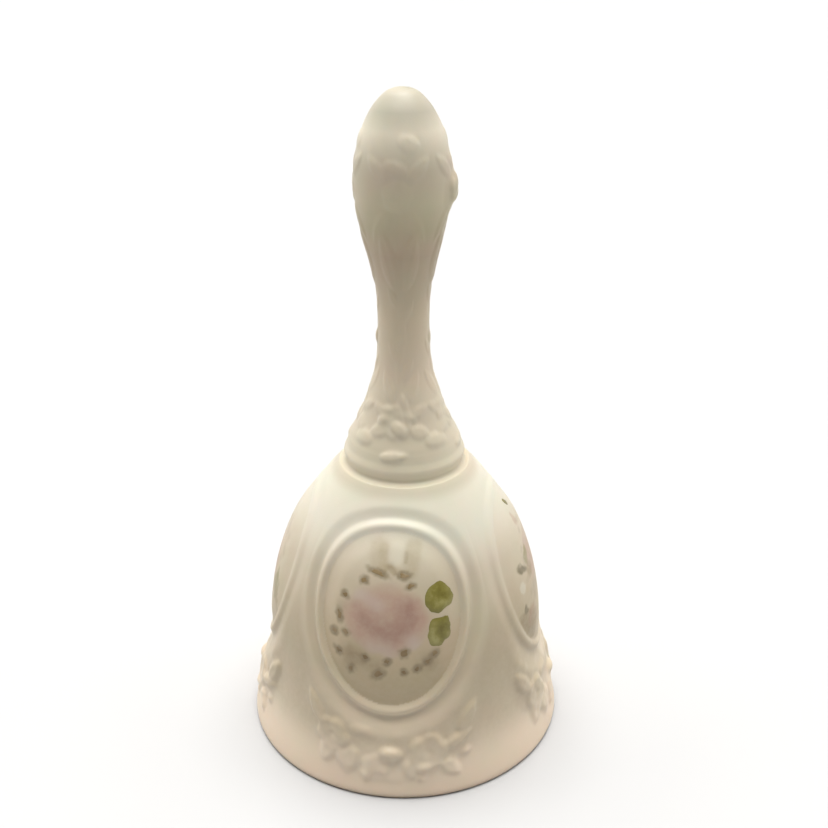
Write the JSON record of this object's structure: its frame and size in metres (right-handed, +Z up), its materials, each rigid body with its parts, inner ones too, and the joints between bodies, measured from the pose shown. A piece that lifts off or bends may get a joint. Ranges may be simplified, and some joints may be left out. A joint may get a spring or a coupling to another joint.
{
  "type": "hand bell",
  "caption": "Satin opal glass hand bell with a sculpted handle, oval medallions painted with roses, flower garlands in relief, and a bead clapper on a chain.",
  "frame": {"origin": "centre of the mouth, on the plane the rim stands on", "axes": "+Z up along the handle; -Y towards the medallion that is turned to the viewer"},
  "size_m": [0.087, 0.087, 0.1748],
  "materials": {
    "opal_glass": "warm ivory opal glass, etched satin, with hand-painted enamel roses and leaves in the medallions",
    "cement": "matt, slightly sandy cement",
    "wire": "drawn brass wire, lightly tarnished",
    "bead_glass": "polished opal glass bead"
  },
  "bodies": {
    "bell": {"bell_glass": "opal_glass", "anchor_plug": "cement", "anchor_eye": "wire"},
    "link_1": {"chain_link_1": "wire"},
    "link_2": {"chain_link_2": "wire"},
    "link_3": {"chain_link_3": "wire"},
    "link_4": {"chain_link_4": "wire"},
    "link_5": {"chain_link_5": "wire"},
    "clapper": {"clapper_pin": "wire"},
    "bead": {"clapper_bead": "bead_glass"}
  },
  "joints": [
    {"name": "link_1_swing", "type": "hinge", "parent": "bell", "child": "link_1", "pos_m": [0, 0, 0.068], "axis": [1, 0, 0], "range_deg": [-31.5, 31.5]},
    {"name": "link_2_swing", "type": "hinge", "parent": "link_1", "child": "link_2", "pos_m": [0, 0, 0.0605], "axis": [0, 1, 0], "range_deg": [-37.5, 37.5]},
    {"name": "link_3_swing", "type": "hinge", "parent": "link_2", "child": "link_3", "pos_m": [0, 0, 0.053], "axis": [-1, 0, 0], "range_deg": [-47, 47]},
    {"name": "link_4_swing", "type": "hinge", "parent": "link_3", "child": "link_4", "pos_m": [0, 0, 0.0455], "axis": [0, -1, 0], "range_deg": [-62, 62]},
    {"name": "link_5_swing", "type": "hinge", "parent": "link_4", "child": "link_5", "pos_m": [0, 0, 0.038], "axis": [1, 0, 0], "range_deg": [-75, 75]},
    {"name": "clapper_swing", "type": "hinge", "parent": "link_5", "child": "clapper", "pos_m": [0, 0, 0.0305], "axis": [0, 1, 0], "range_deg": [-75, 75]},
    {"name": "bead_spin", "type": "hinge", "parent": "clapper", "child": "bead", "pos_m": [0, 0, 0.0176], "axis": [0, 0, 1], "continuous": true}
  ]
}
